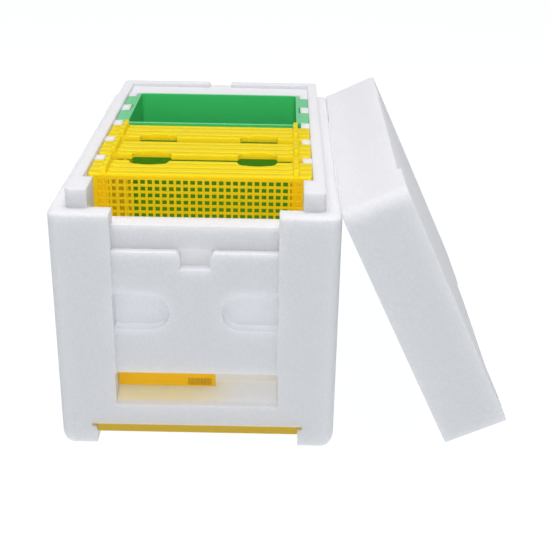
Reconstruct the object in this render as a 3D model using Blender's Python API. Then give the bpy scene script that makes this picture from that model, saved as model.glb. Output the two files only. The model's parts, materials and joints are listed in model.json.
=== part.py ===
"""Small foam mating hive: body, leaning lid, three plastic frames, feeder tub, gate and floor slide.

Every length is in millimetres and is turned into metres when a mesh is made. Hive coordinates
have X across the hive, Y from the front wall to the back, and Z up from the floor; HIVE_MID
moves them so that the whole set is centred on the world's origin.
"""

import math

import bmesh
import bpy
from mathutils import Vector

MM = 0.001

# Foam body
BODY_HALF_W = 95.0
BODY_LEN = 308.0
BODY_CORNER_R = 8.0
POST_TOP = 170.2
POST_INNER = 54.6
POST_DEPTH = 14.5
FOOT_H = 15.0
FOOT_INNER = 70.0
FOOT_ROUND = 9.0
RIM_HALF_W = 84.5
RIM_FRONT = 11.5
RIM_BACK = 302.0
RIM_TOP = 183.0
RIM_INNER = 76.6
RIM_CORNER_R = 4.0
TOP_EDGE_R = 2.4
REAR_SHELF_BACK = 293.5
SIDE_RECESS = 1.2
SIDE_RECESS_FRONT = 62.0
SIDE_RECESS_BACK = 248.0
FLOOR_TOP = 38.0
CAVITY_HALF_W = 70.0
CAVITY_FRONT = 24.6
CAVITY_BACK = 270.8
CHANNEL_HALF_W = 73.8
LEDGE_Z = 175.7
TOOTH_TOP = 180.0
PANEL_DEPTH = 2.0
STEP_Y = 8.6
STEP_LOW_Z = 143.9
STEP_HIGH_Z = 160.2
NOTCH_HALF_W = 10.0
NOTCH_FLOOR_Z = 131.8
NOTCH_BACK_Y = 12.6
BACK_NOTCH_HALF_W = 11.0
BACK_NOTCH_DEPTH = 3.0
# Lug slots between the foam teeth: start and end along Y
FRAME_SLOTS = ((38.0, 83.4), (94.6, 128.8), (139.8, 171.2))
FEEDER_SLOTS = ((184.9, 215.0), (232.0, 259.5))

# Grip pockets in the front wall
GRIP_OUTER = 55.0
GRIP_INNER = 17.4
GRIP_LOW_Z = 87.5
GRIP_HIGH_Z = 113.8
GRIP_DEPTH = 13.0

# Entrance
SLOT_HALF_W = 55.5
SLOT_LOW_Z = 30.4
SLOT_HIGH_Z = 55.0
RAMP_BACK_Y = 18.0
GATE_LEFT = -55.0
GATE_RIGHT = 12.0
GATE_FRONT_Y = 13.0
GATE_T = 2.0
GATE_LOW_Z = 38.8
GATE_HIGH_Z = 60.0

# Floor slide
VENT_HALF_W = 40.0
VENT_FRONT = 82.0
VENT_BACK = 222.0
SLIDE_GROOVE_HALF_W = 73.0
SLIDE_HALF_W = 72.6
SLIDE_LIP_HALF_W = 69.6
SLIDE_TOP = 14.6
SLIDE_T = 2.0
SLIDE_FRONT = 1.4
SLIDE_LIP_LOW = 8.4
SLIDE_BACK = 282.0

# Frames
FRAME_DEPTH = 30.4
FRAME_TOP = 180.0
FRAME_FRONTS = (52.6, 97.9, 140.2)
BAR_T = 4.0
LUG_END = 76.2
LUG_CORNER_R = 3.0
HOLE_X = 38.0
HOLE_HALF_W = 14.2
HOLE_DEPTH = 9.2
TAB_IN = 63.8
TAB_OUT = 67.0
TAB_H = 4.5
GROOVE_Y = (5.6, 15.2, 24.8)
GROOVE_W = 4.0
GROOVE_D = 0.35
GROOVE_HALF_L = 61.0
SIDE_IN = 62.5
SIDE_OUT = 72.4
SIDE_WALL = 2.0
FRAME_H = 128.0
BOTTOM_T = 3.0
GUIDE_T = 1.8
GUIDE_LOW = 7.2
GAP = 0.3

# Square mesh on the front of frame 1
MESH_COLS = 29
MESH_ROWS = 8
MESH_PITCH_X = 4.85
MESH_PITCH_Z = 4.8
MESH_HOLE_X = 3.25
MESH_HOLE_Z = 3.15
MESH_FIRST_Z = 5.1
MESH_T = 1.4

# Feeder tub
FEEDER_HALF_W = 68.5
FEEDER_FRONT = 178.2
FEEDER_BACK = 270.4
FEEDER_LOW = 48.0
FEEDER_WALL = 2.2
FEEDER_LUG_T = 4.0
FEEDER_LUGS = ((185.4, 214.4), (232.6, 259.0))

# Lid, leaning on the right-hand side of the body
LID_HALF_W = 95.0
LID_LEN = 308.0
LID_T = 45.0
LID_CORNER_R = 10.0
LID_LEAN = math.radians(25.4)
LID_FRONT = 1.0
LID_SEAT_HALF_W = 86.0
LID_SEAT_FRONT = 10.2
LID_SEAT_BACK = 303.3
LID_SEAT_DEPTH = 13.5
LID_WELL_HALF_W = 62.0
LID_WELL_INSET = 36.0
LID_WELL_DEPTH = 24.0
LID_GRIP_FRONT = 43.0
LID_GRIP_BACK = 233.0
LID_GRIP_W = 24.0
LID_GRIP_FRONT_D = 2.6
LID_GRIP_BACK_D = 1.0
LID_GAP = 0.4

ROUND_SAVING = TOP_EDGE_R * (math.cos(LID_LEAN) + math.sin(LID_LEAN) - 1)
LID_TOUCH_X = BODY_HALF_W + (LID_GAP - ROUND_SAVING) / math.cos(LID_LEAN)
LID_EDGE_X = LID_TOUCH_X + POST_TOP * math.tan(LID_LEAN)
RIGHT_END = LID_EDGE_X + LID_T * math.cos(LID_LEAN)
HIVE_MID = Vector(((RIGHT_END - BODY_HALF_W) / 2, (LID_FRONT + LID_LEN) / 2, 0.0))


def clear_scene():
    for obj in list(bpy.data.objects):
        bpy.data.objects.remove(obj, do_unlink=True)


def make_material(name, color, roughness):
    material = bpy.data.materials.new(name)
    material.use_nodes = True
    shader = material.node_tree.nodes["Principled BSDF"]
    shader.inputs["Base Color"].default_value = (*color, 1.0)
    shader.inputs["Roughness"].default_value = roughness
    shader.inputs["Metallic"].default_value = 0.0
    material.diffuse_color = (*color, 1.0)
    return material


def arc(cx, cy, r, start, end, steps):
    """Points on a circle from one angle to another, in degrees."""
    turn = [math.radians(start + (end - start) * i / steps) for i in range(steps + 1)]
    return [(cx + r * math.cos(t), cy + r * math.sin(t)) for t in turn]


def rounded_rect(x0, x1, y0, y1, r, steps=6):
    points = arc(x1 - r, y1 - r, r, 0, 90, steps)
    points += arc(x0 + r, y1 - r, r, 90, 180, steps)
    points += arc(x0 + r, y0 + r, r, 180, 270, steps)
    points += arc(x1 - r, y0 + r, r, 270, 360, steps)
    return points


def rect(x0, x1, y0, y1):
    return [(x0, y0), (x1, y0), (x1, y1), (x0, y1)]


def placed(axis, a, b, along):
    """A point of an outline put into space, for an extrusion along the named axis."""
    if axis == "X":
        return Vector((along, a, b))
    if axis == "Y":
        return Vector((a, along, b))
    return Vector((a, b, along))


def add_prism(bm, outline, low, high, axis="Z"):
    lower = [bm.verts.new(placed(axis, a, b, low) * MM) for a, b in outline]
    upper = [bm.verts.new(placed(axis, a, b, high) * MM) for a, b in outline]
    faces = [bm.faces.new(lower), bm.faces.new(upper)]
    for i in range(len(outline)):
        j = (i + 1) % len(outline)
        faces.append(bm.faces.new((lower[i], lower[j], upper[j], upper[i])))
    bmesh.ops.recalc_face_normals(bm, faces=faces)


def add_stack(bm, layers, axis="Z"):
    """One closed body from outlines with equal numbers of points, each at its place on the axis."""
    rings = [[bm.verts.new(placed(axis, a, b, c) * MM) for a, b in outline] for outline, c in layers]
    faces = [bm.faces.new(rings[0]), bm.faces.new(rings[-1])]
    for lower, upper in zip(rings, rings[1:]):
        for i in range(len(lower)):
            j = (i + 1) % len(lower)
            faces.append(bm.faces.new((lower[i], lower[j], upper[j], upper[i])))
    bmesh.ops.recalc_face_normals(bm, faces=faces)


def mesh_object(name, bm, material=None, origin=(0.0, 0.0, 0.0), parent=None):
    """Turns a bmesh in hive millimetres into an object whose origin is the point given."""
    origin = Vector(origin) * MM
    bmesh.ops.translate(bm, verts=bm.verts, vec=-origin)
    mesh = bpy.data.meshes.new(name)
    bm.to_mesh(mesh)
    bm.free()
    obj = bpy.data.objects.new(name, mesh)
    bpy.context.scene.collection.objects.link(obj)
    obj.location = origin - HIVE_MID * MM
    if material is not None:
        mesh.materials.append(material)
    if parent is not None:
        obj.parent = parent
        obj.location = origin - HIVE_MID * MM - parent.location
    return obj


def prism(name, outline, low, high, axis="Z", material=None, origin=(0, 0, 0), parent=None):
    bm = bmesh.new()
    add_prism(bm, outline, low, high, axis)
    return mesh_object(name, bm, material, origin, parent)


def box(name, x0, x1, y0, y1, z0, z1, **options):
    return prism(name, rect(x0, x1, y0, y1), z0, z1, **options)


def combine(target, tool, operation="DIFFERENCE"):
    tool.hide_render = True
    tool.display_type = "WIRE"
    tool.parent = None
    tool.location = Vector(tool.location)
    modifier = target.modifiers.new(tool.name, "BOOLEAN")
    modifier.operation = operation
    modifier.solver = "EXACT"
    modifier.object = tool


def smooth_round_faces(obj, angle=30.0):
    for polygon in obj.data.polygons:
        polygon.use_smooth = True
    obj.data.set_sharp_from_angle(angle=math.radians(angle))


def rig(name, x, y, z):
    """An empty that carries the pieces of one moving unit."""
    empty = bpy.data.objects.new(name, None)
    empty.empty_display_size = 0.02
    empty.location = Vector((x, y, z)) * MM - HIVE_MID * MM
    bpy.context.scene.collection.objects.link(empty)
    return empty


def half_ellipse(cx, edge_y, depth, outward, steps=14):
    """A bee passage: half an ellipse opening on the edge, carried a little past it."""
    points = []
    for i in range(steps + 1):
        t = math.pi * i / steps
        points.append((cx + HOLE_HALF_W * math.cos(t), edge_y - outward * depth * math.sin(t)))
    points.append((cx - HOLE_HALF_W, edge_y + outward * 2.0))
    points.append((cx + HOLE_HALF_W, edge_y + outward * 2.0))
    return points


def cut_lug_slots(body):
    for i, (front, back) in enumerate(FRAME_SLOTS + FEEDER_SLOTS):
        combine(body, box(f"cut_lug_slot_{i}", -RIM_INNER, RIM_INNER, front, back, LEDGE_Z, 200))
    for i, (front, back) in enumerate(FRAME_SLOTS):
        wide = CHANNEL_HALF_W
        combine(body, box(f"cut_channel_{i}", -wide, wide, front, back, 44, 200))
    front = FRAME_SLOTS[0][1] - 1
    back = REAR_SHELF_BACK
    combine(body, box("cut_tooth_tops", -RIM_INNER, RIM_INNER, front, back, TOOTH_TOP, 200))


def cut_front_wall(body):
    inner = POST_INNER
    combine(body, box("cut_front_top", -inner, inner, -5, CAVITY_FRONT + 2, STEP_HIGH_Z, 200))
    wide = CAVITY_HALF_W
    back = CAVITY_FRONT + 2
    combine(body, box("cut_behind_posts", -wide, wide, POST_DEPTH, back, STEP_HIGH_Z, 200))
    combine(body, box("cut_front_step", -inner, inner, -5, STEP_Y, STEP_LOW_Z, 200))
    combine(body, box("cut_front_panel", -inner, inner, -5, PANEL_DEPTH, SLOT_LOW_Z, 200))
    flare = [
        (-NOTCH_HALF_W, NOTCH_FLOOR_Z),
        (NOTCH_HALF_W, NOTCH_FLOOR_Z),
        (NOTCH_HALF_W, STEP_LOW_Z - 4),
        (NOTCH_HALF_W + 1, STEP_LOW_Z - 1.5),
        (NOTCH_HALF_W + 3, STEP_LOW_Z + 0.5),
        (-NOTCH_HALF_W - 3, STEP_LOW_Z + 0.5),
        (-NOTCH_HALF_W - 1, STEP_LOW_Z - 1.5),
        (-NOTCH_HALF_W, STEP_LOW_Z - 4),
    ]
    combine(body, prism("cut_front_notch", flare, -5, NOTCH_BACK_Y, axis="Y"))
    r = (GRIP_HIGH_Z - GRIP_LOW_Z) / 2
    mid = (GRIP_HIGH_Z + GRIP_LOW_Z) / 2
    left = [(-GRIP_OUTER, GRIP_LOW_Z)]
    left += arc(-GRIP_INNER - r, mid, r, -90, 90, 12)
    left += [(-GRIP_OUTER, GRIP_HIGH_Z)]
    right = [(-x, z) for x, z in reversed(left)]
    combine(body, prism("cut_grip_left", left, -5, GRIP_DEPTH, axis="Y"))
    combine(body, prism("cut_grip_right", right, -5, GRIP_DEPTH, axis="Y"))


def cut_entrance(body):
    back = CAVITY_FRONT + 5
    ramp = [
        (-5, SLOT_LOW_Z),
        (PANEL_DEPTH, SLOT_LOW_Z),
        (RAMP_BACK_Y, FLOOR_TOP),
        (back, FLOOR_TOP),
        (back, SLOT_HIGH_Z),
        (-5, SLOT_HIGH_Z),
    ]
    combine(body, prism("cut_entrance", ramp, -SLOT_HALF_W, SLOT_HALF_W, axis="X"))
    front = GATE_FRONT_Y - 0.4
    rear = GATE_FRONT_Y + GATE_T + 0.4
    top = GATE_HIGH_Z + 0.8
    wide = SLOT_HALF_W
    combine(body, box("cut_gate_groove", -wide, wide, front, rear, SLOT_HIGH_Z - 2, top))


def cut_underside(body):
    wide = FOOT_INNER
    combine(body, box("cut_between_feet", -wide, wide, -5, BODY_LEN + 5, -5, FOOT_H))
    wide = SLIDE_GROOVE_HALF_W
    low = SLIDE_TOP - SLIDE_T - 0.4
    combine(body, box("cut_slide_groove", -wide, wide, -5, SLIDE_BACK + 2, low, FOOT_H))
    wide = VENT_HALF_W
    combine(body, box("cut_vent", -wide, wide, VENT_FRONT, VENT_BACK, -5, FLOOR_TOP + 2))
    for side in (-1, 1):
        edge = side * BODY_HALF_W
        centre = side * (BODY_HALF_W - FOOT_ROUND)
        outline = [(edge + side * 3, -3), (centre, -3), (centre, 0)]
        start, end = (270, 360) if side > 0 else (270, 180)
        outline += arc(centre, FOOT_ROUND, FOOT_ROUND, start, end, 8)[1:]
        outline += [(edge + side * 3, FOOT_ROUND)]
        name = "cut_foot_right" if side > 0 else "cut_foot_left"
        combine(body, prism(name, outline, -5, BODY_LEN + 5, axis="Y"))


def build_body(foam):
    wide = BODY_HALF_W
    layers = [(rounded_rect(-wide, wide, 0, BODY_LEN, BODY_CORNER_R), 0)]
    for turn in (0, 30, 60, 90):
        inset = TOP_EDGE_R * (1 - math.cos(math.radians(turn)))
        drop = TOP_EDGE_R * (1 - math.sin(math.radians(turn)))
        r = BODY_CORNER_R - inset
        outline = rounded_rect(-wide + inset, wide - inset, inset, BODY_LEN - inset, r)
        layers.append((outline, POST_TOP - drop))
    bm = bmesh.new()
    add_stack(bm, layers)
    body = mesh_object("hive_body", bm, foam)
    for side, word in ((-1, "left"), (1, "right")):
        low, high = sorted((side * (wide - SIDE_RECESS), side * (wide + 5)))
        front, back = SIDE_RECESS_FRONT, SIDE_RECESS_BACK
        combine(body, box(f"cut_side_{word}", low, high, front, back, FOOT_ROUND + 4, 200))
    outline = rounded_rect(-RIM_HALF_W, RIM_HALF_W, RIM_FRONT, RIM_BACK, RIM_CORNER_R, 4)
    combine(body, prism("add_rim", outline, POST_TOP - 5, RIM_TOP), "UNION")
    wide = CAVITY_HALF_W
    cavity = box("cut_cavity", -wide, wide, CAVITY_FRONT, CAVITY_BACK, FLOOR_TOP, 200)
    combine(body, cavity)
    combine(body, box("cut_rim_front", -wide, wide, RIM_FRONT - 5, CAVITY_FRONT + 2, POST_TOP, 200))
    cut_lug_slots(body)
    cut_front_wall(body)
    cut_entrance(body)
    cut_underside(body)
    wide = BACK_NOTCH_HALF_W
    notch = [
        (2 - wide, RIM_TOP - BACK_NOTCH_DEPTH),
        (wide - 2, RIM_TOP - BACK_NOTCH_DEPTH),
        (wide, RIM_TOP + 5),
        (-wide, RIM_TOP + 5),
    ]
    combine(body, prism("cut_back_notch", notch, CAVITY_BACK - 5, BODY_LEN + 5, axis="Y"))
    smooth_round_faces(body)
    return body


def lid_grip(name, side):
    """A long wedge off the roof's edge, deepest at the side wall and towards the front."""
    layers = []
    for y, depth in ((LID_GRIP_FRONT, LID_GRIP_FRONT_D), (LID_GRIP_BACK, LID_GRIP_BACK_D)):
        slope = depth / LID_GRIP_W
        outer = LID_HALF_W + 3
        inner = LID_HALF_W - LID_GRIP_W - 3 / slope
        wedge = [(side * outer, LID_T - depth - 3 * slope)]
        wedge += [(side * outer, LID_T + 3), (side * inner, LID_T + 3)]
        layers.append((wedge, y))
    bm = bmesh.new()
    add_stack(bm, layers, "Y")
    return mesh_object(name, bm)


def build_lid(foam):
    """The lid is drawn closed, with its underside at z = 0, and then turned to lean."""
    origin_shift = HIVE_MID
    wide = LID_HALF_W
    outline = rounded_rect(-wide, wide, 0, LID_LEN, LID_CORNER_R, 8)
    lid = prism("lid", outline, 0, LID_T, material=foam)
    wide = LID_SEAT_HALF_W
    outline = rounded_rect(-wide, wide, LID_SEAT_FRONT, LID_SEAT_BACK, RIM_CORNER_R + 1, 4)
    tools = [prism("cut_lid_seat", outline, -5, LID_SEAT_DEPTH)]
    wide = LID_WELL_HALF_W
    inset = LID_WELL_INSET
    outline = rounded_rect(-wide, wide, inset, LID_LEN - inset, 10, 4)
    tools.append(prism("cut_lid_well", outline, LID_SEAT_DEPTH - 2, LID_WELL_DEPTH))
    tools.append(lid_grip("cut_lid_grip_left", -1))
    tools.append(lid_grip("cut_lid_grip_right", 1))
    turn = math.pi / 2 - LID_LEAN
    along = Vector((math.sin(LID_LEAN), 0, -math.cos(LID_LEAN)))
    lower_edge = Vector((LID_EDGE_X, LID_FRONT, 0))
    for obj in [lid] + tools:
        obj.rotation_euler = (0, turn, 0)
        obj.location = (lower_edge - along * LID_HALF_W - origin_shift) * MM
    for tool in tools:
        combine(lid, tool)
    smooth_round_faces(lid)
    return lid


def build_top_bar(number, y0, plastic, parent):
    name = f"frame_{number}_top_bar"
    bottom = FRAME_TOP - BAR_T
    origin = (0, y0 + FRAME_DEPTH / 2, FRAME_TOP)
    options = {"material": plastic, "origin": origin, "parent": parent}
    outline = rounded_rect(-LUG_END, LUG_END, y0, y0 + FRAME_DEPTH, LUG_CORNER_R, 3)
    bar = prism(name, outline, bottom, FRAME_TOP, **options)
    for side in (-1, 1):
        low, high = sorted((side * TAB_IN, side * TAB_OUT))
        tab = box(
            f"add_tab_{number}_{side}", low, high, y0 + 0.2, y0 + FRAME_DEPTH - 0.2,
            FRAME_TOP - 1, FRAME_TOP + TAB_H,
        )
        combine(bar, tab, "UNION")
        # Frame 1 stands turned round, so its passages meet those of frame 2.
        outward = 1 if number == 1 else -1
        edge = y0 + FRAME_DEPTH if number == 1 else y0
        hole = half_ellipse(side * HOLE_X, edge, HOLE_DEPTH, outward)
        tool = prism(f"cut_passage_{number}_{side}", hole, bottom - 2, FRAME_TOP + 2)
        combine(bar, tool)
    for i, groove in enumerate(GROOVE_Y):
        y = y0 + (FRAME_DEPTH - groove if number == 1 else groove)
        tool = box(
            f"cut_groove_{number}_{i}", -GROOVE_HALF_L, GROOVE_HALF_L,
            y - GROOVE_W / 2, y + GROOVE_W / 2, FRAME_TOP - GROOVE_D, FRAME_TOP + 2,
        )
        combine(bar, tool)
    smooth_round_faces(bar)


def build_side_bar(number, side, y0, plastic, parent):
    """A channel whose web faces the comb and whose flanges reach out to the foam."""
    word = "left" if side < 0 else "right"
    front = y0 + 0.8
    back = y0 + FRAME_DEPTH - 0.8
    web = SIDE_IN + SIDE_WALL
    outline = [
        (SIDE_IN, front),
        (SIDE_OUT, front),
        (SIDE_OUT, front + SIDE_WALL),
        (web, front + SIDE_WALL),
        (web, back - SIDE_WALL),
        (SIDE_OUT, back - SIDE_WALL),
        (SIDE_OUT, back),
        (SIDE_IN, back),
    ]
    outline = [(side * x, y) for x, y in outline]
    top = FRAME_TOP - BAR_T - GAP
    bottom = FRAME_TOP - FRAME_H + BOTTOM_T + GAP
    origin = (side * SIDE_IN, y0 + FRAME_DEPTH / 2, top)
    name = f"frame_{number}_side_bar_{word}"
    prism(name, outline, bottom, top, material=plastic, origin=origin, parent=parent)


def build_mesh_panel(y0, plastic, parent):
    """Square mesh in front of frame 1, made as one plate with a hole in each cell."""
    half = MESH_COLS * MESH_PITCH_X / 2
    xs = [-SIDE_OUT]
    for i in range(MESH_COLS):
        centre = -half + (i + 0.5) * MESH_PITCH_X
        xs += [centre - MESH_HOLE_X / 2, centre + MESH_HOLE_X / 2]
    xs.append(SIDE_OUT)
    zs = [FRAME_TOP - GAP]
    for i in range(MESH_ROWS):
        centre = FRAME_TOP - MESH_FIRST_Z - i * MESH_PITCH_Z
        zs += [centre + MESH_HOLE_Z / 2, centre - MESH_HOLE_Z / 2]
    zs.append(zs[-1] - 2.5)
    front = y0 - GAP - MESH_T
    back = y0 - GAP
    bm = bmesh.new()
    near = [[bm.verts.new(Vector((x, front, z)) * MM) for z in zs] for x in xs]
    far = [[bm.verts.new(Vector((x, back, z)) * MM) for z in zs] for x in xs]

    def solid(i, j):
        inside = 0 <= i < len(xs) - 1 and 0 <= j < len(zs) - 1
        return inside and not (i % 2 == 1 and j % 2 == 1)

    for i in range(len(xs) - 1):
        for j in range(len(zs) - 1):
            if not solid(i, j):
                continue
            for sheet in (near, far):
                corners = (sheet[i][j], sheet[i + 1][j], sheet[i + 1][j + 1], sheet[i][j + 1])
                bm.faces.new(corners)
            for di, dj, a, b in (
                (-1, 0, (i, j), (i, j + 1)),
                (1, 0, (i + 1, j), (i + 1, j + 1)),
                (0, -1, (i, j), (i + 1, j)),
                (0, 1, (i, j + 1), (i + 1, j + 1)),
            ):
                if not solid(i + di, j + dj):
                    bm.faces.new((near[a[0]][a[1]], near[b[0]][b[1]], far[b[0]][b[1]], far[a[0]][a[1]]))
    loose = [v for v in bm.verts if not v.link_faces]
    bmesh.ops.delete(bm, geom=loose, context="VERTS")
    bmesh.ops.recalc_face_normals(bm, faces=bm.faces)
    mesh_object("front_mesh_panel", bm, plastic, (0, front, FRAME_TOP), parent)


def build_frame(number, y0, plastic):
    parent = rig(f"frame_{number}_rig", 0, y0 + FRAME_DEPTH / 2, FRAME_TOP)
    build_top_bar(number, y0, plastic, parent)
    for side in (-1, 1):
        build_side_bar(number, side, y0, plastic, parent)
    low = FRAME_TOP - FRAME_H
    mid = y0 + FRAME_DEPTH / 2
    options = {"material": plastic, "origin": (0, mid, low), "parent": parent}
    box(
        f"frame_{number}_bottom_bar", -SIDE_OUT, SIDE_OUT, mid - 9, mid + 9,
        low, low + BOTTOM_T, **options,
    )
    top = FRAME_TOP - BAR_T - GAP
    half = SIDE_IN - GAP
    options = {"material": plastic, "origin": (0, mid, top), "parent": parent}
    box(
        f"frame_{number}_comb_guide", -half, half, mid - GUIDE_T / 2, mid + GUIDE_T / 2,
        FRAME_TOP - GUIDE_LOW, top, **options,
    )
    if number == 1:
        build_mesh_panel(y0, plastic, parent)


def build_feeder(plastic):
    wide = FEEDER_HALF_W
    origin = (0, (FEEDER_FRONT + FEEDER_BACK) / 2, FRAME_TOP)
    outline = rounded_rect(-wide, wide, FEEDER_FRONT, FEEDER_BACK, 5, 4)
    tub = prism("feeder_tub", outline, FEEDER_LOW, FRAME_TOP, material=plastic, origin=origin)
    for i, (front, back) in enumerate(FEEDER_LUGS):
        outline = rounded_rect(-LUG_END, LUG_END, front, back, 2.5, 3)
        lug = prism(f"add_feeder_lug_{i}", outline, FRAME_TOP - FEEDER_LUG_T, FRAME_TOP)
        combine(tub, lug, "UNION")
    wide -= FEEDER_WALL
    front = FEEDER_FRONT + FEEDER_WALL
    back = FEEDER_BACK - FEEDER_WALL
    outline = rounded_rect(-wide, wide, front, back, 3.5, 4)
    combine(tub, prism("cut_feeder", outline, FEEDER_LOW + FEEDER_WALL, FRAME_TOP + 5))
    smooth_round_faces(tub)


def build_gate(plastic):
    """A plate hanging in the entrance groove, with a ribbed grip patch at its free end."""
    back = GATE_FRONT_Y + GATE_T
    origin = (GATE_LEFT, GATE_FRONT_Y, GATE_LOW_Z)
    options = {"material": plastic, "origin": origin}
    gate = box(
        "entrance_gate", GATE_LEFT, GATE_RIGHT, GATE_FRONT_Y, back, GATE_LOW_Z, GATE_HIGH_Z,
        **options,
    )
    for i in range(7):
        x = GATE_RIGHT - 4 - i * 2.2
        rib = box(f"add_gate_rib_{i}", x - 0.5, x + 0.5, GATE_FRONT_Y - 0.5, back - 1, 40, 45.5)
        combine(gate, rib, "UNION")


def build_slide(plastic):
    low = SLIDE_TOP - SLIDE_T
    origin = (0, 1.0, low)
    options = {"material": plastic, "origin": origin}
    wide = SLIDE_HALF_W
    slide = box("floor_slide", -wide, wide, SLIDE_FRONT, SLIDE_BACK, low, SLIDE_TOP, **options)
    wide = SLIDE_LIP_HALF_W
    lip = box("add_slide_lip", -wide, wide, 1.0, 5.0, SLIDE_LIP_LOW, SLIDE_TOP)
    combine(slide, lip, "UNION")


def main():
    clear_scene()
    foam = make_material("white_foam", (0.86, 0.87, 0.88), 0.85)
    yellow = make_material("yellow_plastic", (0.90, 0.62, 0.03), 0.38)
    green = make_material("green_plastic", (0.03, 0.36, 0.12), 0.35)
    build_body(foam)
    build_lid(foam)
    for number, y0 in enumerate(FRAME_FRONTS, start=1):
        build_frame(number, y0, yellow)
    build_feeder(green)
    build_gate(yellow)
    build_slide(yellow)


main()
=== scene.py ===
"""Looks of the mating beehive: rounded foam, moulded plastic pieces, studio floor, lights and camera."""

import json
import math

import bmesh
import bpy
from mathutils import Matrix, Vector

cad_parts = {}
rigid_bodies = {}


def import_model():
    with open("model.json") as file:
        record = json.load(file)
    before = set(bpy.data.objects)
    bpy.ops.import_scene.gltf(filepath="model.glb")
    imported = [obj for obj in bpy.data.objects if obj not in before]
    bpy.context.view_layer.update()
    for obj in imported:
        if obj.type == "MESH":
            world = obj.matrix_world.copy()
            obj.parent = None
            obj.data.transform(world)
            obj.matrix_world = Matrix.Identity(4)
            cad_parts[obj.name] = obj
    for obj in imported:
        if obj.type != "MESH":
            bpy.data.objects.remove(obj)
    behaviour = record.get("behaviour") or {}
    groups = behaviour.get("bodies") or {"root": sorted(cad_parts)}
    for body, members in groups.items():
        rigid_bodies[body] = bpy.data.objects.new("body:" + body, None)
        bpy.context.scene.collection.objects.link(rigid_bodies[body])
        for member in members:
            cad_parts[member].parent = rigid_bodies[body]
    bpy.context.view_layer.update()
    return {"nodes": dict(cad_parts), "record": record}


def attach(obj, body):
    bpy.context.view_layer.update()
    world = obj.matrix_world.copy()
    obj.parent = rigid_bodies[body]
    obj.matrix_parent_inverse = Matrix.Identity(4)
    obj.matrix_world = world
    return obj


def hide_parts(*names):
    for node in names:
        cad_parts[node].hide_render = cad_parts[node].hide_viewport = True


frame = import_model()
nodes = frame["nodes"]
body_of = {node: body for body, members in frame["record"]["behaviour"]["bodies"].items() for node in members}
scene = bpy.context.scene
for startup in [o for o in bpy.data.objects if o.name in ("Cube", "Light", "Camera")]:
    bpy.data.objects.remove(startup, do_unlink=True)

MM = 0.001


# ---------------------------------------------------------------- places on the CAD
def box_of(node):
    """Lowest and highest corner of a CAD node, in metres."""
    points = [nodes[node].matrix_world @ vertex.co for vertex in nodes[node].data.vertices]
    low = Vector([min(point[axis] for point in points) for axis in range(3)])
    high = Vector([max(point[axis] for point in points) for axis in range(3)])
    return low, high


def middle_of(node):
    low, high = box_of(node)
    return (low + high) / 2


# Zones of colour are measured on the hive: x from its middle, y back from its front, z up from its feet.
hive_low, hive_high = box_of("hive_body")
HIVE_ORIGIN = Vector(((hive_low.x + hive_high.x) / 2, hive_low.y, hive_low.z))


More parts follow.
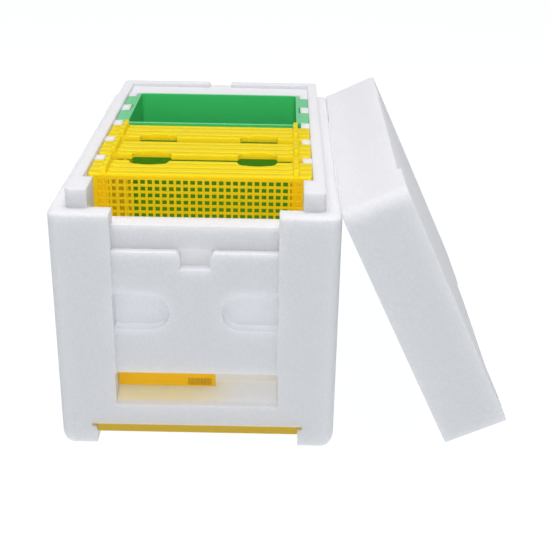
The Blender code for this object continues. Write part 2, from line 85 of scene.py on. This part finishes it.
# ---------------------------------------------------------------- materials
class Nodes:
    """A small helper around one material's node tree.

    Its coordinates start at the origin of the object, which is the middle of the piece in every rounded copy.
    """

    def __init__(self, name):
        self.material = bpy.data.materials.new(name)
        self.material.use_nodes = True
        self.tree = self.material.node_tree
        self.shader = self.tree.nodes["Principled BSDF"]
        coordinates = self.tree.nodes.new("ShaderNodeTexCoord")
        self.coords = coordinates.outputs["Object"]
        self.normal = coordinates.outputs["Normal"]

    def add(self, kind, **values):
        """A new node. Each value is one of its settings or, failing that, one of its inputs."""
        node = self.tree.nodes.new(kind)
        for key, value in values.items():
            if hasattr(node, key):
                setattr(node, key, value)
            else:
                node.inputs[key.replace("_", " ")].default_value = value
        return node

    def link(self, a, b):
        self.tree.links.new(a, b)

    def set(self, **values):
        """Constants for the shader's inputs."""
        for key, value in values.items():
            self.shader.inputs[key.replace("_", " ")].default_value = value

    def split(self, vector):
        node = self.tree.nodes.new("ShaderNodeSeparateXYZ")
        self.link(vector, node.inputs["Vector"])
        return node.outputs["X"], node.outputs["Y"], node.outputs["Z"]

    def on_hive(self, cad_node):
        """x, y and z measured on the hive, for the material of the piece that stands for one CAD node."""
        node = self.add("ShaderNodeVectorMath", operation="ADD")
        self.link(self.coords, node.inputs[0])
        node.inputs[1].default_value = middle_of(cad_node) - HIVE_ORIGIN
        return self.split(node.outputs["Vector"])

    def noise(self, scale, detail=3.0, roughness=0.5):
        node = self.add("ShaderNodeTexNoise", Scale=scale, Detail=detail, Roughness=roughness)
        self.link(self.coords, node.inputs["Vector"])
        return node.outputs["Fac"]

    def voronoi(self, scale, feature="F1"):
        node = self.add("ShaderNodeTexVoronoi", Scale=scale, feature=feature)
        self.link(self.coords, node.inputs["Vector"])
        return node

    def remap(self, value, a, b, c, d):
        """Turns the range a to b into the range c to d, and holds c and d beyond it."""
        node = self.add("ShaderNodeMapRange", From_Min=a, From_Max=b, To_Min=c, To_Max=d)
        self.link(value, node.inputs["Value"])
        return node.outputs["Result"]

    def band(self, value, span, soft):
        """1 between the two ends of span, fading to 0 over the width soft on either side."""
        low, high = span
        rise = self.remap(value, low - soft, low, 0.0, 1.0)
        fall = self.remap(value, high, high + soft, 1.0, 0.0)
        return self.product(rise, fall)

    def mix(self, factor, a, b):
        """Blends from colour a to colour b. Each may be three numbers or another node's output."""
        node = self.tree.nodes.new("ShaderNodeMix")
        node.data_type = "RGBA"
        for socket, value in (("Factor", factor), ("A", a), ("B", b)):
            target = [s for s in node.inputs if s.name == socket and s.enabled][0]
            if isinstance(value, tuple):
                target.default_value = (*value, 1.0)
            else:
                self.link(value, target)
        return [s for s in node.outputs if s.enabled][0]

    def multiply(self, value, factor):
        node = self.add("ShaderNodeMath", operation="MULTIPLY")
        self.link(value, node.inputs[0])
        node.inputs[1].default_value = factor
        return node.outputs["Value"]

    def product(self, *factors):
        """All the factors multiplied together."""
        result = factors[0]
        for factor in factors[1:]:
            node = self.add("ShaderNodeMath", operation="MULTIPLY")
            self.link(result, node.inputs[0])
            self.link(factor, node.inputs[1])
            result = node.outputs["Value"]
        return result

    def absolute(self, value):
        node = self.add("ShaderNodeMath", operation="ABSOLUTE")
        self.link(value, node.inputs[0])
        return node.outputs["Value"]

    def grooves(self, pitch):
        """1 in the middle of every groove and 0 halfway between, from front to back of the piece."""
        front_to_back = self.split(self.coords)[1]
        turn = self.add("ShaderNodeMath", operation="COSINE")
        self.link(self.multiply(front_to_back, 2.0 * math.pi / pitch), turn.inputs[0])
        return self.remap(turn.outputs["Value"], -0.5, 0.8, 0.0, 1.0)

    def bump(self, height, strength, distance, normal=None):
        node = self.add("ShaderNodeBump", Strength=strength, Distance=distance)
        self.link(height, node.inputs["Height"])
        if normal is not None:
            self.link(normal, node.inputs["Normal"])
        return node.outputs["Normal"]


def shade(color, factor):
    return tuple(factor * channel for channel in color)


EVEN_RADIUS = (1.0, 1.0, 1.0)
FOAM = (0.735, 0.742, 0.765)
FOAM_SEAM = (0.63, 0.65, 0.68)
BEADS_PER_METRE = 265.0


def foam_nodes(name):
    """White foam: pressed beads with faint seams. Gives the helper and the colour, which may be built on."""
    m = Nodes(name)
    edges = m.voronoi(BEADS_PER_METRE, "DISTANCE_TO_EDGE").outputs["Distance"]
    bead_colors = m.voronoi(BEADS_PER_METRE).outputs["Color"]
    seams = m.remap(edges, 0.0, 0.10, 0.22, 0.0)
    grain = m.noise(900.0, 2.0)
    cloud = m.remap(m.noise(9.0, 4.0, 0.6), 0.35, 0.7, 0.0, 0.35)
    bead = m.tree.nodes.new("ShaderNodeSeparateColor")
    m.link(bead_colors, bead.inputs["Color"])
    color = m.mix(cloud, FOAM, shade(FOAM, 0.965))
    color = m.mix(m.multiply(bead.outputs["Red"], 0.16), color, shade(FOAM, 0.93))
    color = m.mix(seams, color, FOAM_SEAM)
    m.link(color, m.shader.inputs["Base Color"])
    m.link(m.remap(grain, 0.3, 0.7, 0.66, 0.86), m.shader.inputs["Roughness"])
    beads = m.bump(m.remap(edges, 0.0, 0.25, 0.0, 1.0), 0.22, 0.6 * MM)
    m.link(m.bump(grain, 0.08, 0.3 * MM, beads), m.shader.inputs["Normal"])
    m.set(Specular_IOR_Level=0.3, Subsurface_Weight=0.7)
    m.set(Subsurface_Radius=EVEN_RADIUS, Subsurface_Scale=14.0 * MM)
    return m, color


def lid_foam():
    return foam_nodes("foam_beads")[0].material


# Painted light: paler foam in the grip pockets, less of it near their upper edge, and in the notch, where the
# foam lies in shade.
GRIP_TOP_PAINTED_LIGHT = (0.76, 0.775, 0.815)
GRIP_LOW_PAINTED_LIGHT = (0.88, 0.895, 0.935)
NOTCH_PAINTED_LIGHT = (0.86, 0.87, 0.89)
# Painted light in the entrance: cream from light bounced off the yellow gate, fading to paler plain foam on
# the right.
ENTRANCE_PAINTED_YELLOW_BOUNCE = (0.86, 0.80, 0.56)
ENTRANCE_PAINTED_LIGHT = (0.87, 0.87, 0.88)
BETWEEN_POSTS = (0.0, 54.5 * MM)
GRIP_HEIGHTS = (85.5 * MM, 117.5 * MM)
NOTCH_HEIGHTS = (132.0 * MM, 155.5 * MM)
ENTRANCE_HEIGHTS = (31.5 * MM, 54.5 * MM)
ENTRANCE_DEPTHS = (6.0 * MM, 22.0 * MM)


def body_foam():
    """The box's foam, with painted light in the pockets of the front wall and a painted cream cast of light
    bounced from the yellow gate in the entrance.
    """
    m, color = foam_nodes("foam_body")
    x, y, z = m.on_hive("hive_body")
    between_posts = m.band(m.absolute(x), BETWEEN_POSTS, 1.0 * MM)
    in_wall = m.product(m.remap(y, 18.0 * MM, 20.0 * MM, 1.0, 0.0), between_posts)
    grip_depth = m.remap(y, 4.0 * MM, 11.0 * MM, 0.0, 1.0)
    grips = m.product(in_wall, m.band(z, GRIP_HEIGHTS, 3.0 * MM), grip_depth)
    notch_back = m.remap(y, 11.5 * MM, 12.3 * MM, 0.0, 1.0)
    notch = m.product(in_wall, m.band(z, NOTCH_HEIGHTS, 0.5 * MM), notch_back)
    entrance_depth = m.band(y, ENTRANCE_DEPTHS, 3.0 * MM)
    entrance = m.product(between_posts, m.band(z, ENTRANCE_HEIGHTS, 2.5 * MM), entrance_depth)
    # Painted light in the grip pockets, graded darker towards their upper edge.
    grip_painted_light = m.mix(m.remap(z, 109.5 * MM, 89.5 * MM, 0.0, 1.0), GRIP_TOP_PAINTED_LIGHT, GRIP_LOW_PAINTED_LIGHT)
    # Painted light in the entrance, cream by the gate from its bounced yellow light.
    entrance_painted_light = m.mix(m.remap(x, -8.0 * MM, 30.0 * MM, 0.0, 1.0), ENTRANCE_PAINTED_YELLOW_BOUNCE, ENTRANCE_PAINTED_LIGHT)
    color = m.mix(grips, color, grip_painted_light)
    # Painted light on the floor of the notch.
    color = m.mix(notch, color, NOTCH_PAINTED_LIGHT)
    color = m.mix(entrance, color, entrance_painted_light)
    m.link(color, m.shader.inputs["Base Color"])
    return m.material


SATIN = (0.42, 0.55)
SEMI_GLOSS = (0.28, 0.40)


def plastic_nodes(name, top, side, rough=SATIN, specular=0.18, glow=0.6, groove_pitch=None):
    """Moulded plastic with painted light and shade: one colour on faces that look up, one on the rest, as lit
    and shaded copies of the plastic. Gives the helper and the colour.
    """
    m = Nodes(name)
    cloud = m.remap(m.noise(26.0, 4.0, 0.55), 0.35, 0.7, 0.0, 0.45)
    fine = m.noise(1400.0, 3.0)
    flow = m.noise(160.0, 2.0)
    # Painted light and shade: faces that don't look up get the second colour.
    not_up = m.remap(m.split(m.normal)[2], 0.2, 0.8, 1.0, 0.0)
    color = m.mix(cloud, top, shade(top, 0.96))
    # Painted shade: darker bands along the grooves.
    if groove_pitch is not None:
        color = m.mix(m.multiply(m.grooves(groove_pitch), 0.3), color, shade(top, 0.5))
    color = m.mix(not_up, color, side)
    m.link(color, m.shader.inputs["Base Color"])
    m.link(m.remap(flow, 0.3, 0.7, *rough), m.shader.inputs["Roughness"])
    ripples = m.bump(flow, 0.10, 0.4 * MM)
    m.link(m.bump(fine, 0.06, 0.1 * MM, ripples), m.shader.inputs["Normal"])
    m.set(Specular_IOR_Level=specular, Subsurface_Weight=glow)
    m.set(Subsurface_Radius=EVEN_RADIUS, Subsurface_Scale=4.0 * MM)
    return m, color


# Yellow plastic: the colour for faces that look up, and a paler painted-light copy for the other faces, which
# lie in shade.
YELLOW_TOP = (0.69, 0.545, 0.009)
YELLOW_SIDE_PAINTED_LIGHT = (0.85, 0.655, 0.009)
# Painted shade: the side bars' yellow darkened to amber for the shade behind the mesh.
SIDE_BAR_PAINTED_SHADE = (0.80, 0.50, 0.004)
# Painted shade: the mesh's yellow made deeper orange, as the same plastic looks in shade.
MESH_TOP = (0.74, 0.505, 0.003)
MESH_FRONT = (0.73, 0.50, 0.002)
# Painted shade: the gate's yellow made deep orange, as it looks in the shade of the entrance.
GATE_YELLOW_PAINTED_SHADE = (0.62, 0.34, 0.003)
SLIDE_TOP = (0.44, 0.29, 0.022)
SLIDE_FRONT = (0.43, 0.29, 0.021)
# Painted light: the paler green of the lugs and other faces that look up.
GREEN_UP_PAINTED_LIGHT = (0.155, 0.52, 0.25)
WALL_GREEN = (0.046, 0.50, 0.13)
# Painted shade: the green deeper down in the tub.
GREEN_DEPTH_PAINTED_SHADE = (0.018, 0.25, 0.06)
# Painted shade with a yellow cast of bounced light, for the tub's front wall behind the frames.
OLIVE_PAINTED_SHADE = (0.048, 0.245, 0.006)
GROOVE_PITCH = 9.6 * MM
# The grip patch of the gate, which gets painted shade between its ribs.
RIB_PATCH_WIDTH = (-6.5 * MM, 9.0 * MM)
RIB_PATCH_HEIGHTS = (40.4 * MM, 44.9 * MM)


def bar_plastic():
    """The frames' top bars, with painted shade along their three shallow grooves."""
    return plastic_nodes("yellow_bar", YELLOW_TOP, YELLOW_SIDE_PAINTED_LIGHT, groove_pitch=GROOVE_PITCH)[0].material


def yellow_plastic():
    return plastic_nodes("yellow_moulded", YELLOW_TOP, YELLOW_SIDE_PAINTED_LIGHT)[0].material


def mesh_plastic():
    # Painted shade: a deeper orange copy of the yellow plastic.
    return plastic_nodes("yellow_mesh", MESH_TOP, MESH_FRONT)[0].material


def side_bar_plastic():
    # Painted shade: the side bars stand in the shade of the mesh.
    return plastic_nodes("yellow_side", SIDE_BAR_PAINTED_SHADE, SIDE_BAR_PAINTED_SHADE)[0].material


def gate_plastic():
    """The gate, with painted shade between the ribs of its grip patch."""
    m, color = plastic_nodes("yellow_gate", GATE_YELLOW_PAINTED_SHADE, GATE_YELLOW_PAINTED_SHADE, specular=0.2, glow=0.3)
    x, _, z = m.on_hive("entrance_gate")
    patch = m.product(m.band(x, RIB_PATCH_WIDTH, 1.0 * MM), m.band(z, RIB_PATCH_HEIGHTS, 0.8 * MM))
    # Painted shade over the rib patch, patchy with noise.
    rib_painted_shade = m.product(patch, m.remap(m.noise(900.0), 0.3, 0.7, 0.35, 0.75))
    m.link(m.mix(rib_painted_shade, color, shade(GATE_YELLOW_PAINTED_SHADE, 0.45)), m.shader.inputs["Base Color"])
    return m.material


def slide_plastic():
    return plastic_nodes("yellow_slide", SLIDE_TOP, SLIDE_FRONT, specular=0.25, glow=0.2)[0].material


def tub_plastic():
    """Green plastic with painted light on the lugs and other faces that look up, painted shade that darkens
    the walls downwards, and painted shade with a yellow cast of bounced light on the wall behind the frames.
    """
    m, color = plastic_nodes("green_moulded", GREEN_UP_PAINTED_LIGHT, WALL_GREEN, rough=SEMI_GLOSS, specular=0.4, glow=0.3)
    _, y, z = m.on_hive("feeder_tub")
    # Painted shade, darkening the walls downwards.
    depth = m.remap(z, 180.0 * MM, 144.0 * MM, 0.0, 0.6)
    # Painted shade and yellow bounce light on the front wall below the bars.
    front_wall = m.remap(y, 178.8 * MM, 178.3 * MM, 0.0, 1.0)
    below_bars = m.remap(z, 174.0 * MM, 168.0 * MM, 0.0, 1.0)
    color = m.mix(depth, color, GREEN_DEPTH_PAINTED_SHADE)
    color = m.mix(m.product(front_wall, below_bars), color, OLIVE_PAINTED_SHADE)
    m.link(color, m.shader.inputs["Base Color"])
    return m.material


# ---------------------------------------------------------------- rounded copies of CAD nodes
FOAM_ROUND = 1.4 * MM
LID_ROUND = 1.6 * MM
TUB_ROUND = 0.7 * MM
PLASTIC_ROUND = 0.35 * MM
SHARP_FROM = math.radians(35.0)
SAME_POINT = 0.001 * MM
plastics = bpy.data.collections.new("plastics")


def rounded_copy(node, name, width, segments, material):
    """A copy of a CAD node with its points joined up and its edges rounded, riding on the node's body."""
    middle = middle_of(node)
    mesh = nodes[node].data.copy()
    mesh.name = name
    bm = bmesh.new()
    bm.from_mesh(mesh)
    bmesh.ops.remove_doubles(bm, verts=bm.verts, dist=SAME_POINT)
    bmesh.ops.transform(bm, matrix=Matrix.Translation(-middle) @ nodes[node].matrix_world, verts=bm.verts)
    bm.to_mesh(mesh)
    bm.free()
    mesh.materials.clear()
    mesh.materials.append(material)
    for polygon in mesh.polygons:
        polygon.use_smooth = True
        polygon.material_index = 0
    obj = bpy.data.objects.new(name, mesh)
    obj.location = middle
    scene.collection.objects.link(obj)
    bevel = obj.modifiers.new("round", "BEVEL")
    bevel.width = width
    bevel.segments = segments
    bevel.limit_method = "ANGLE"
    bevel.angle_limit = SHARP_FROM
    bevel.use_clamp_overlap = True
    bevel.harden_normals = False
    weighted = obj.modifiers.new("normals", "WEIGHTED_NORMAL")
    weighted.keep_sharp = True
    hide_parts(node)
    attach(obj, body_of[node])
    return obj


foam_for_lid = lid_foam()
foam_for_body = body_foam()
grooved_yellow = bar_plastic()
plain_yellow = yellow_plastic()
mesh_yellow = mesh_plastic()
side_yellow = side_bar_plastic()
loose_plates = {"entrance_gate": gate_plastic(), "floor_slide": slide_plastic()}

rounded_copy("hive_body", "body_foam", FOAM_ROUND, 3, foam_for_body)
rounded_copy("lid", "lid_foam", LID_ROUND, 3, foam_for_lid)
plastics.objects.link(rounded_copy("feeder_tub", "tub", TUB_ROUND, 3, tub_plastic()))

mesh_panel = nodes["front_mesh_panel"]
mesh_panel.data.materials.clear()
mesh_panel.data.materials.append(mesh_yellow)
plastics.objects.link(mesh_panel)

for node in sorted(nodes):
    if node in ("hive_body", "lid", "feeder_tub", "front_mesh_panel"):
        continue
    material = loose_plates.get(node, plain_yellow)
    if node.endswith("top_bar"):
        material = grooved_yellow
    if "side_bar" in node:
        material = side_yellow
    plastics.objects.link(rounded_copy(node, node + "_look", PLASTIC_ROUND, 2, material))

# ---------------------------------------------------------------- floor and surroundings
FLOOR_WIDTH = 14.0
FLOOR_MIDDLE = (0.0, 3.0, 0.0)
FLOOR_GLOW = (0.96, 0.985, 1.0, 1.0)
FLOOR_GLOW_STRENGTH = 0.975
SKY = (0.90, 0.945, 1.0, 1.0)
SKY_STRENGTH = 0.20


def floor_material():
    """A floor that glows, so that it stays plain and pale up to its far edge."""
    m = Nodes("studio_floor")
    m.link(m.mix(m.noise(3.0), (0.10, 0.10, 0.10), (0.08, 0.08, 0.08)), m.shader.inputs["Base Color"])
    m.set(Roughness=0.9, Specular_IOR_Level=0.0)
    m.set(Emission_Color=FLOOR_GLOW, Emission_Strength=FLOOR_GLOW_STRENGTH)
    return m.material


bpy.ops.mesh.primitive_plane_add(size=FLOOR_WIDTH, location=FLOOR_MIDDLE)
floor = bpy.context.object
floor.name = "studio_floor"
floor.data.materials.append(floor_material())

world = bpy.data.worlds.new("studio")
scene.world = world
world.use_nodes = True
background = world.node_tree.nodes["Background"]
background.inputs["Color"].default_value = SKY
background.inputs["Strength"].default_value = SKY_STRENGTH


# ---------------------------------------------------------------- lights
def area_light(name, location, target, size, watts, color=(1.0, 1.0, 1.0), shadow=True):
    """A soft rectangular light, aimed from its location at its target."""
    data = bpy.data.lights.new(name, "AREA")
    data.shape = "RECTANGLE"
    data.size, data.size_y = size
    data.energy = watts
    data.color = color
    data.use_shadow = shadow
    light = bpy.data.objects.new(name, data)
    scene.collection.objects.link(light)
    light.location = location
    direction = Vector(target) - Vector(location)
    light.rotation_euler = direction.to_track_quat("-Z", "Y").to_euler()
    return light


WARM = (1.0, 0.955, 0.955)
COOL = (0.975, 0.98, 1.0)
LOW_MIDDLE = (0.0, 0.0, 0.1)
LOW_RIGHT = (0.05, 0.0, 0.1)
HIGH_MIDDLE = (0.0, 0.0, 0.15)
area_light("top_box", (-0.1, 0.05, 2.0), LOW_MIDDLE, size=(1.3, 1.3), watts=27.0, color=WARM)
area_light("front_key", (0.1, -1.40, 1.78), LOW_RIGHT, size=(1.4, 1.0), watts=20.0, color=COOL, shadow=False)
for side in (-1, 1):
    place = (0.9 * side, -1.3, 0.7)
    fill = area_light(f"plastic_fill_{side}", place, HIGH_MIDDLE, size=(0.8, 0.8), watts=7.5, shadow=False)
    fill.light_linking.receiver_collection = plastics

# ---------------------------------------------------------------- camera
CAMERA_PLACE = (-0.00585, -0.78106, 0.41121)
LOOKING_DOWN = math.radians(24.147)
ROLL = math.radians(1.010)
YAW = math.radians(0.187)
LENS_MM = 68.936
SENSOR_MM = 36.0

camera_data = bpy.data.cameras.new("photo_camera")
camera_data.sensor_width = SENSOR_MM
camera_data.lens = LENS_MM
camera_data.clip_start = 10.0 * MM
camera_data.dof.use_dof = False
camera = bpy.data.objects.new("photo_camera", camera_data)
scene.collection.objects.link(camera)
camera.matrix_world = (
    Matrix.Translation(CAMERA_PLACE)
    @ Matrix.Rotation(YAW, 4, "Z")
    @ Matrix.Rotation(math.radians(90.0) - LOOKING_DOWN, 4, "X")
    @ Matrix.Rotation(ROLL, 4, "Z")
)
scene.camera = camera
scene.view_settings.view_transform = "Standard"
scene.view_settings.look = "None"
